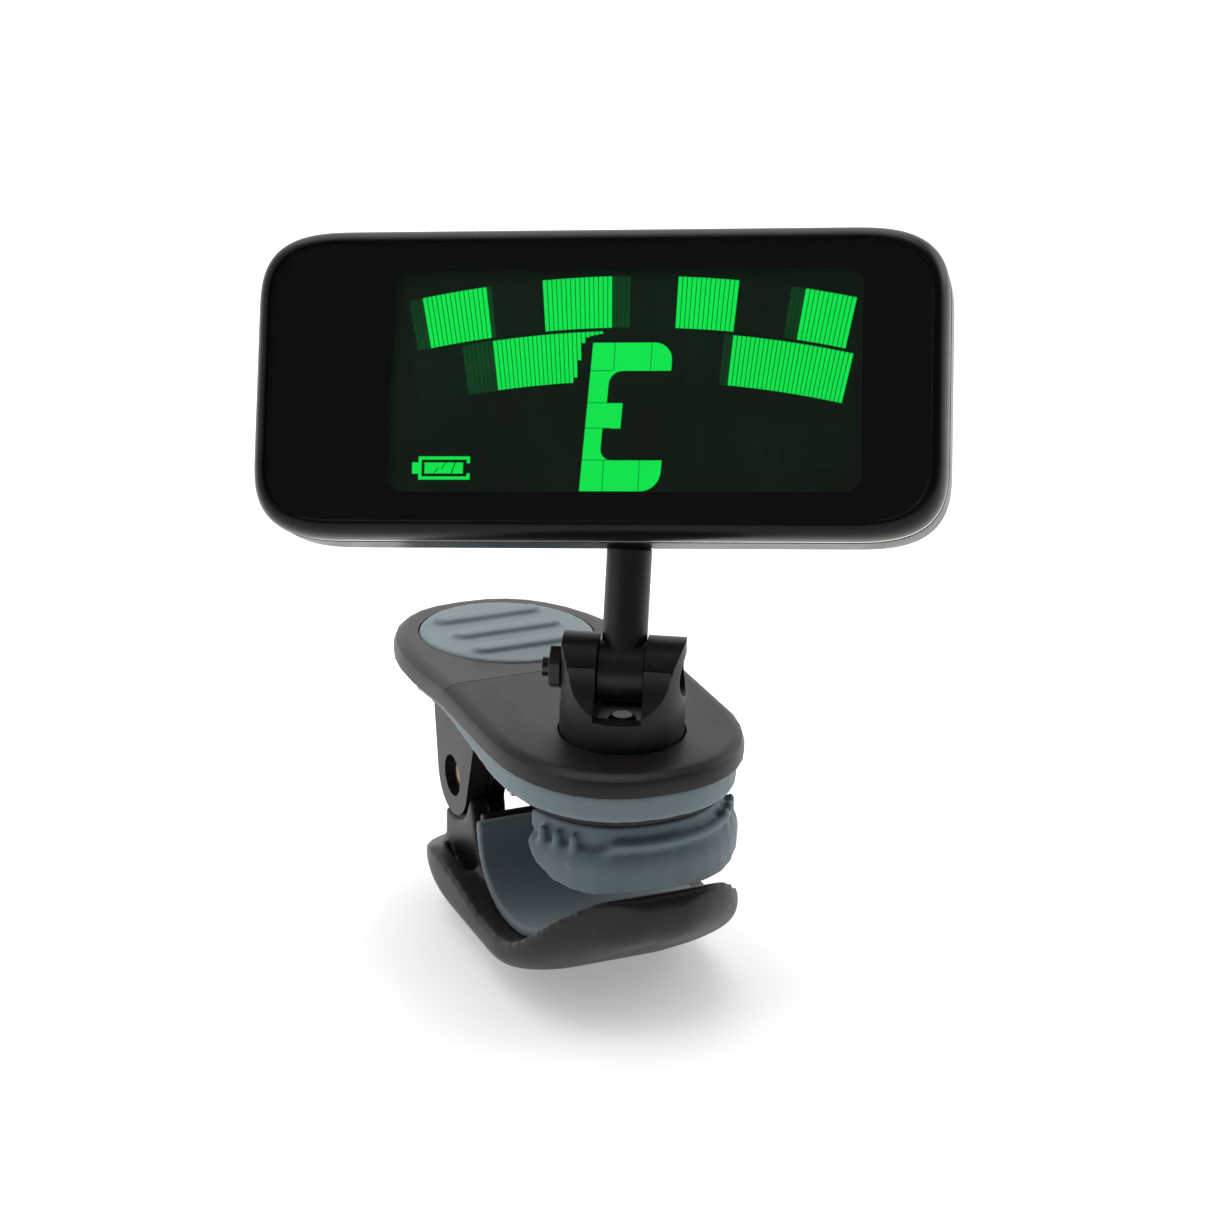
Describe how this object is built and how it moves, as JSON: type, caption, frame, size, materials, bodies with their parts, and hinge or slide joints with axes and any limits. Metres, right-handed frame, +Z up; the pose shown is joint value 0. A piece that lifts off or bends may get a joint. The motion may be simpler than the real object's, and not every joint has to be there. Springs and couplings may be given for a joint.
{
  "type": "clip-on tuner",
  "caption": "Clip-on tuner: a spring clip with padded jaws carries a display head on a swivel, a folding neck and a ball joint.",
  "frame": {"origin": "centre of the clip's belly, on the surface it stands on", "axes": "+Z up, -Y towards the clip's nose, +Y towards its thumb end, X across the clip"},
  "size_m": [0.0674, 0.0639, 0.079],
  "materials": {
    "black_plastic": "satin black moulded plastic with a very fine texture",
    "gloss_black": "polished black plastic",
    "clear_lens": "clear polished window, lightly tinted",
    "display": "segment display glass, lit green on black",
    "light_guide": "white light guide",
    "grey_rubber": "soft blue-grey rubber, matt",
    "dark_rubber": "soft dark blue-grey rubber, matt",
    "steel": "plain steel",
    "black_steel": "black oxide steel",
    "brass": "plain brass, slightly dulled",
    "champagne_trim": "thin bright trim, pale champagne",
    "circuit_board": "green solder mask",
    "cell_foil": "silver foil pouch",
    "cup_plastic": "natural white acetal"
  },
  "bodies": {
    "jaw": {"lower_jaw": "black_plastic", "jaw_liner": "dark_rubber", "torsion_spring": "steel"},
    "lever": {"paddle_shell": "black_plastic", "thumb_pad": "grey_rubber", "rim_bumper": "grey_rubber", "lever_core": "black_plastic", "jaw_pad": "dark_rubber", "hinge_pin": "brass"},
    "swivel": {"swivel_clevis": "black_plastic", "pivot_screw": "black_steel", "pivot_nut": "black_steel", "swivel_rivet": "steel", "swivel_washer": "steel"},
    "neck": {"neck_stalk": "black_plastic"},
    "ball": {"neck_ball": "steel"},
    "head": {"front_housing": "gloss_black", "display_lens": "clear_lens", "lcd_panel": "display", "backlight_panel": "light_guide", "trim_band": "champagne_trim", "rear_cover": "gloss_black", "main_board": "circuit_board", "battery_cell": "cell_foil", "usb_socket": "steel", "piezo_disc": "brass", "ball_cup": "cup_plastic", "cup_screw_1": "steel", "cup_screw_2": "steel", "housing_screw_1": "black_steel", "housing_screw_2": "black_steel", "housing_screw_3": "black_steel", "housing_screw_4": "black_steel"},
    "power_button": {"power_button": "black_plastic"},
    "down_button": {"down_button": "black_plastic"},
    "up_button": {"up_button": "black_plastic"}
  },
  "joints": [
    {"name": "jaw_open", "type": "hinge", "parent": "jaw", "child": "lever", "pos_m": [0, 0.0112, 0.0145], "axis": [-1, 0, 0], "range_deg": [0, 28], "stiffness_Nm_per_rad": 0.08, "springref_deg": -57.3, "deforming": ["torsion_spring"]},
    {"name": "swivel_turn", "type": "hinge", "parent": "lever", "child": "swivel", "pos_m": [0, -0.013, 0.0285], "axis": [0, 0, 1], "continuous": true},
    {"name": "neck_fold", "type": "hinge", "parent": "swivel", "child": "neck", "pos_m": [0, -0.013, 0.0349], "axis": [-0.8704, 0.4924, 0], "range_deg": [-85, 58]},
    {"name": "head_turn", "type": "hinge", "parent": "neck", "child": "ball", "pos_m": [0.00289, -0.00789, 0.05102], "axis": [0.1684, 0.2977, 0.9397], "continuous": true},
    {"name": "head_tilt", "type": "hinge", "parent": "ball", "child": "head", "pos_m": [0.00289, -0.00789, 0.05102], "axis": [0.8495, -0.5234, 0.0669], "range_deg": [-10.5, 19.5]},
    {"name": "power_button_press", "type": "slide", "parent": "head", "child": "power_button", "axis": [-0.4915, -0.7388, 0.461], "range_m": [0, 0.0004], "stiffness_N_per_m": 500},
    {"name": "down_button_press", "type": "slide", "parent": "head", "child": "down_button", "axis": [-0.4915, -0.7388, 0.461], "range_m": [0, 0.0004], "stiffness_N_per_m": 500},
    {"name": "up_button_press", "type": "slide", "parent": "head", "child": "up_button", "axis": [-0.4915, -0.7388, 0.461], "range_m": [0, 0.0004], "stiffness_N_per_m": 500}
  ]
}
